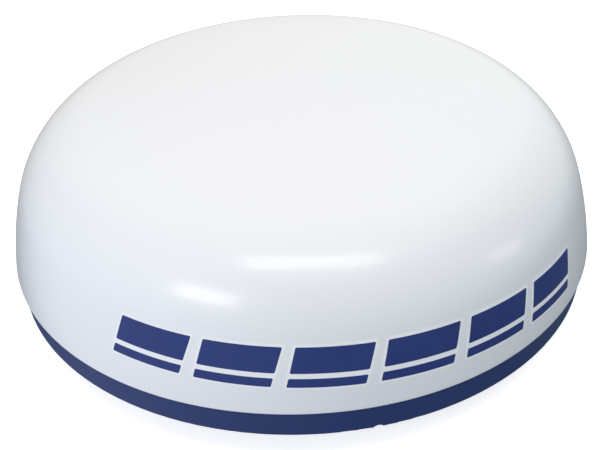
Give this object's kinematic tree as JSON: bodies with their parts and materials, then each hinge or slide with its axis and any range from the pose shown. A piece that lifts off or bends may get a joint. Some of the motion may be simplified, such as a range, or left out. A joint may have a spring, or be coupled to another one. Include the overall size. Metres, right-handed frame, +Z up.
{
  "type": "radar dome antenna",
  "caption": "Enclosed marine radar scanner: white lift-off dome over a blue base pan, with a turning array, gear drive, transmitter and electronics inside.",
  "frame": {"origin": "centre of the mounting face, the plane of the four pads under the base", "axes": "+Z up along the antenna's spin axis, -Y to the bow side that carries the decal, +Y to the socket bay"},
  "size_m": [0.62, 0.6199, 0.2415],
  "materials": {
    "white_gelcoat": "gloss",
    "blue_base": "gloss",
    "decal_blue": "gloss",
    "decal_white": "gloss",
    "stainless": "satin",
    "bearing_steel": "polished",
    "dark_steel": "satin",
    "magnet": "matte",
    "cast_aluminium": "satin",
    "sheet_aluminium": "satin",
    "black_anodised": "satin",
    "brass": "satin",
    "copper": "satin",
    "rubber": "matte",
    "black_plastic": "matte",
    "motor_black": "satin",
    "gear_nylon": "satin",
    "connector_nylon": "matte",
    "board_green": "satin",
    "board_blue": "satin",
    "array_laminate": "satin",
    "capacitor_sleeve": "gloss",
    "film_capacitor": "gloss",
    "tin": "satin"
  },
  "bodies": {
    "base": {"radome_base": "blue_base", "rim_gasket": "rubber", "mounting_inserts": "brass", "cover_bolts": "stainless", "bolt_washers": "stainless", "inlet_sockets": "black_plastic", "socket_contacts": "brass", "socket_nuts": "stainless", "inlet_leads": "rubber", "breather_vent": "black_plastic", "chassis_plate": "sheet_aluminium", "m5_screws": "stainless", "bearing_housing": "cast_aluminium", "bearing_retainers": "dark_steel", "bearing_outer_rings": "bearing_steel", "rotary_joint_stator": "brass", "drive_motor": "motor_black", "motor_bracket": "sheet_aluminium", "m3_screws": "stainless", "magnetron": "copper", "magnetron_magnets": "magnet", "magnetron_yoke": "dark_steel", "waveguide_link": "brass", "circulator": "cast_aluminium", "receiver_module": "tin", "feed_line": "copper", "modulator_board": "board_green", "pulse_transformer": "magnet", "modulator_heatsink": "black_anodised", "hv_capacitors": "film_capacitor", "power_board": "board_green", "power_capacitors": "capacitor_sleeve", "power_inductors": "copper", "processor_board": "board_blue", "processor_shield": "tin", "processor_chips": "black_plastic", "board_connectors": "connector_nylon", "board_standoffs": "brass", "heading_sensor": "black_plastic"},
    "cover": {"radome_cover": "white_gelcoat", "cover_inserts": "brass", "decal_film": "decal_white", "decal_marks": "decal_blue"},
    "rotor": {"antenna_hub": "cast_aluminium", "hub_nut": "dark_steel", "bearing_inner_rings": "bearing_steel", "main_gear": "gear_nylon", "gear_screws": "stainless", "heading_flag": "black_plastic", "radiator_bracket": "cast_aluminium", "bracket_screws": "stainless", "radiator_channel": "sheet_aluminium", "radiator_board": "array_laminate", "radiator_patches": "copper", "radiator_end_caps": "black_plastic", "radiator_feed": "copper"},
    "ball_sets": {"bearing_balls": "bearing_steel", "ball_cages": "brass"},
    "pinion": {"motor_pinion": "dark_steel"}
  },
  "joints": [
    {"name": "cover_lift", "type": "slide", "parent": "base", "child": "cover", "axis": [0, 0, 1], "range_m": [0, 0.25]},
    {"name": "antenna_spin", "type": "hinge", "parent": "base", "child": "rotor", "pos_m": [0, 0, 0.084], "axis": [0, 0, 1], "continuous": true},
    {"name": "cage_orbit", "type": "hinge", "parent": "base", "child": "ball_sets", "pos_m": [0, 0, 0.0565], "axis": [0, 0, 1], "continuous": true},
    {"name": "pinion_spin", "type": "hinge", "parent": "base", "child": "pinion", "pos_m": [0, -0.09, 0.089], "axis": [0, 0, 1], "continuous": true}
  ],
  "couplings": [
    {"joint": "pinion_spin", "follows": "antenna_spin", "ratio": -4},
    {"joint": "cage_orbit", "follows": "antenna_spin", "ratio": 0.3961}
  ]
}
